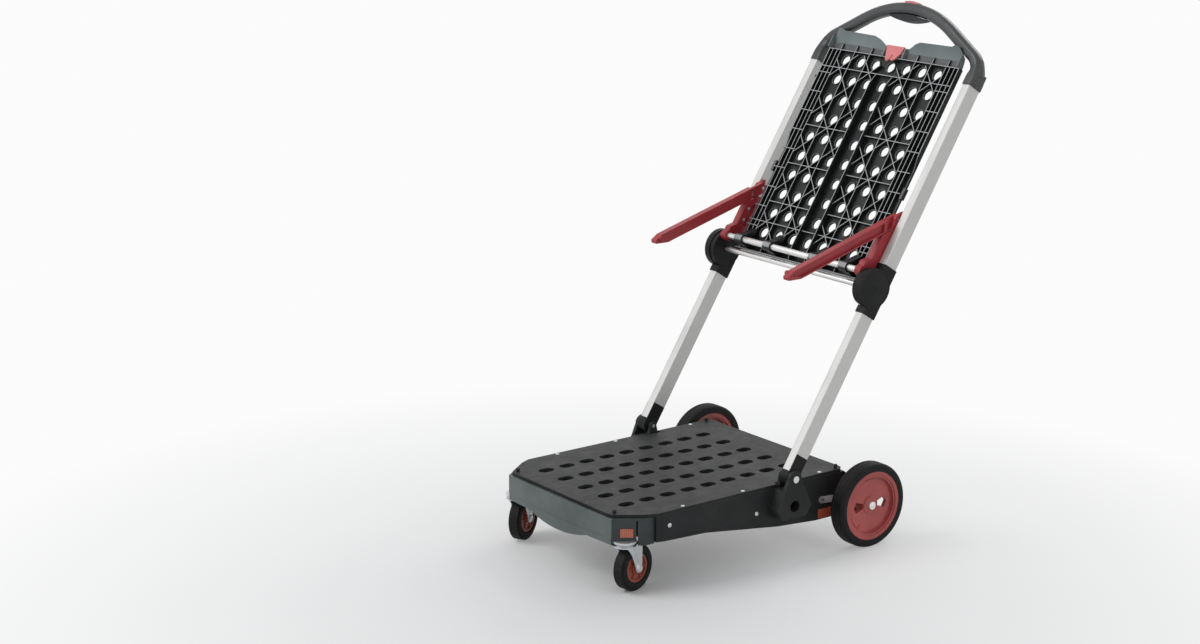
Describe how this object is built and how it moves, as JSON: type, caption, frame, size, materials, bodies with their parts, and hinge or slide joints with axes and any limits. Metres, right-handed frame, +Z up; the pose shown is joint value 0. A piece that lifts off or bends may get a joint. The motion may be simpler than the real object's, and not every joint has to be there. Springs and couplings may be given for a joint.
{
  "type": "folding shopping cart",
  "caption": "Folding two-storey shopping cart with a deck, a lattice shelf that swings down, an arched handle, large rear wheels and swivel castors.",
  "frame": {"origin": "middle of the bounding box on the floor", "axes": "X across the cart with its right side at +X, Y from the bumper at the front to the handle at the back, Z up"},
  "size_m": [0.548, 0.928, 1.0496],
  "materials": {
    "bumper_plastic": "fine grained moulded plastic",
    "corner_plastic": "fine grained moulded plastic",
    "reflector": "clear glossy reflector plastic",
    "deck_plastic": "grained moulded plastic",
    "beam_plastic": "grained moulded plastic",
    "plated_steel": "zinc plated, satin",
    "bright_steel": "turned and plated",
    "castor_rubber": "matt rubber",
    "wheel_rubber": "matt solid rubber with fine grooves",
    "hub_plastic": "moulded plastic, half gloss",
    "rim_plastic": "moulded plastic, half gloss",
    "cap_plated": "plated push cap",
    "rail_aluminium": "anodised extrusion, fine lines along it",
    "knee_plastic": "grained moulded plastic",
    "rod_steel": "turned steel",
    "red_paint": "powder coated, half gloss",
    "handle_plastic": "fine grained moulded plastic",
    "grip_rubber": "soft grip, matt",
    "shelf_plastic": "grained moulded plastic",
    "lip_plastic": "fine grained moulded plastic",
    "coral_plastic": "moulded plastic, half gloss"
  },
  "bodies": {
    "base": {"bumper_face": "bumper_plastic", "bumper_lip": "bumper_plastic", "corner_block_r": "corner_plastic", "corner_block_l": "corner_plastic", "front_reflectors": "reflector", "deck_tray": "deck_plastic", "side_beam_r": "beam_plastic", "side_beam_l": "beam_plastic", "rear_reflectors": "reflector", "fold_catches": "plated_steel", "axle_housing": "beam_plastic", "rear_axle": "bright_steel", "pivot_pins": "bright_steel", "crate_knobs": "deck_plastic", "castor_seats": "plated_steel", "deck_screws": "bright_steel"},
    "castor_r": {"castor_fork_r": "plated_steel", "castor_axle_r": "bright_steel"},
    "castor_l": {"castor_fork_l": "plated_steel", "castor_axle_l": "bright_steel"},
    "castor_wheel_r": {"castor_tyre_r": "castor_rubber", "castor_hub_r": "hub_plastic"},
    "castor_wheel_l": {"castor_tyre_l": "castor_rubber", "castor_hub_l": "hub_plastic"},
    "rear_wheel_r": {"wheel_tyre_r": "wheel_rubber", "wheel_rim_r": "rim_plastic", "wheel_cap_r": "cap_plated"},
    "rear_wheel_l": {"wheel_tyre_l": "wheel_rubber", "wheel_rim_l": "rim_plastic", "wheel_cap_l": "cap_plated"},
    "legs": {"leg_r": "rail_aluminium", "leg_l": "rail_aluminium", "leg_feet": "knee_plastic", "knee_lower_r": "knee_plastic", "knee_lower_l": "knee_plastic", "knee_shaft": "rod_steel"},
    "upper_frame": {"rail_r": "rail_aluminium", "rail_l": "rail_aluminium", "knee_upper_r": "knee_plastic", "knee_upper_l": "knee_plastic", "bracket_r": "red_paint", "bracket_l": "red_paint", "cross_rod": "rod_steel", "arm_pins": "bright_steel", "handle_cap_r": "handle_plastic", "handle_cap_l": "handle_plastic", "handle_arch": "handle_plastic", "handle_grip": "grip_rubber", "frame_screws": "bright_steel"},
    "arm_right": {"arm_r": "red_paint"},
    "arm_left": {"arm_l": "red_paint"},
    "shelf": {"shelf_panel": "shelf_plastic", "shelf_lip": "lip_plastic", "latch_pin": "bright_steel"},
    "latch": {"shelf_latch": "coral_plastic"},
    "button": {"handle_button": "coral_plastic"}
  },
  "joints": [
    {"name": "fold", "type": "hinge", "parent": "base", "child": "legs", "pos_m": [0, -0.064, 0.172], "axis": [1, 0, 0], "range_deg": [-57.4, 0]},
    {"name": "knee", "type": "hinge", "parent": "legs", "child": "upper_frame", "pos_m": [0, 0.14015, 0.52574], "axis": [1, 0, 0], "range_deg": [0, 180]},
    {"name": "arm_swing_r", "type": "hinge", "parent": "upper_frame", "child": "arm_right", "pos_m": [0.207, 0.22429, 0.64951], "axis": [1, 0, 0], "range_deg": [-138.4, 0]},
    {"name": "arm_swing_l", "type": "hinge", "parent": "upper_frame", "child": "arm_left", "pos_m": [-0.207, 0.22429, 0.64951], "axis": [1, 0, 0], "range_deg": [-138.4, 0]},
    {"name": "shelf_drop", "type": "hinge", "parent": "upper_frame", "child": "shelf", "pos_m": [0, 0.13198, 0.55826], "axis": [1, 0, 0], "range_deg": [0, 122.6]},
    {"name": "latch_tip", "type": "hinge", "parent": "shelf", "child": "latch", "pos_m": [0, 0.40795, 0.94561], "axis": [1, 0, 0], "range_deg": [-12, 0], "stiffness_Nm_per_rad": 0.3, "springref_deg": 11.46},
    {"name": "button_press", "type": "slide", "parent": "upper_frame", "child": "button", "axis": [0, -0.3107, -0.9505], "range_m": [0, 0.003], "stiffness_N_per_m": 300, "springref_m": -0.003},
    {"name": "castor_swivel_r", "type": "hinge", "parent": "base", "child": "castor_r", "pos_m": [0.178, -0.433, 0.046], "axis": [0, 0, 1], "continuous": true},
    {"name": "castor_spin_r", "type": "hinge", "parent": "castor_r", "child": "castor_wheel_r", "pos_m": [0.17301, -0.40952, 0.046], "axis": [0.9781, 0.2079, 0], "continuous": true},
    {"name": "castor_swivel_l", "type": "hinge", "parent": "base", "child": "castor_l", "pos_m": [-0.178, -0.433, 0.046], "axis": [0, 0, 1], "continuous": true},
    {"name": "castor_spin_l", "type": "hinge", "parent": "castor_l", "child": "castor_wheel_l", "pos_m": [-0.1889, -0.41162, 0.046], "axis": [0.891, 0.454, 0], "continuous": true},
    {"name": "wheel_spin_r", "type": "hinge", "parent": "base", "child": "rear_wheel_r", "pos_m": [0.252, 0.121, 0.087], "axis": [1, 0, 0], "continuous": true},
    {"name": "wheel_spin_l", "type": "hinge", "parent": "base", "child": "rear_wheel_l", "pos_m": [-0.252, 0.121, 0.087], "axis": [1, 0, 0], "continuous": true}
  ],
  "couplings": [
    {"joint": "knee", "follows": "fold", "ratio": -3.1359},
    {"joint": "arm_swing_r", "follows": "fold", "ratio": 2.4111},
    {"joint": "arm_swing_l", "follows": "fold", "ratio": 2.4111}
  ]
}
